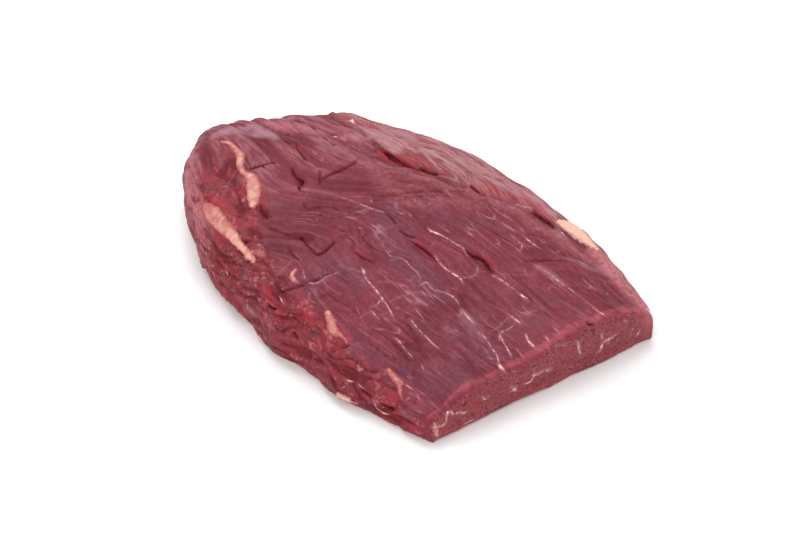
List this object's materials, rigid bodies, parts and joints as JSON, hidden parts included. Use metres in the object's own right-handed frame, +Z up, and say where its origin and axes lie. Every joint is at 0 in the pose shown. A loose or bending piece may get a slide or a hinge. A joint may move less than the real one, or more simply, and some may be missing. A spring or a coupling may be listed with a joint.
{
  "type": "raw beef flank steak",
  "caption": "Raw beef flank steak in one piece, thick and rounded at one end and cut square across the grain at the other, with fat pads on its torn side.",
  "frame": {"origin": "on the surface the steak lies on, under the middle of its bounding box", "axes": "+Y along the grain from the knife-cut end to the thick rounded end, +X across the steak from the torn side to the flap side, +Z up"},
  "size_m": [0.1598, 0.2298, 0.0419],
  "materials": {
    "lean": "raw beef: dark pinkish red lean with a moist sheen, long grain, thin pale marbling threads, pinkish cream fat pads and a grey-pink skin along the right side"
  },
  "bodies": {
    "root": {"steak": "lean"}
  },
  "joints": []
}
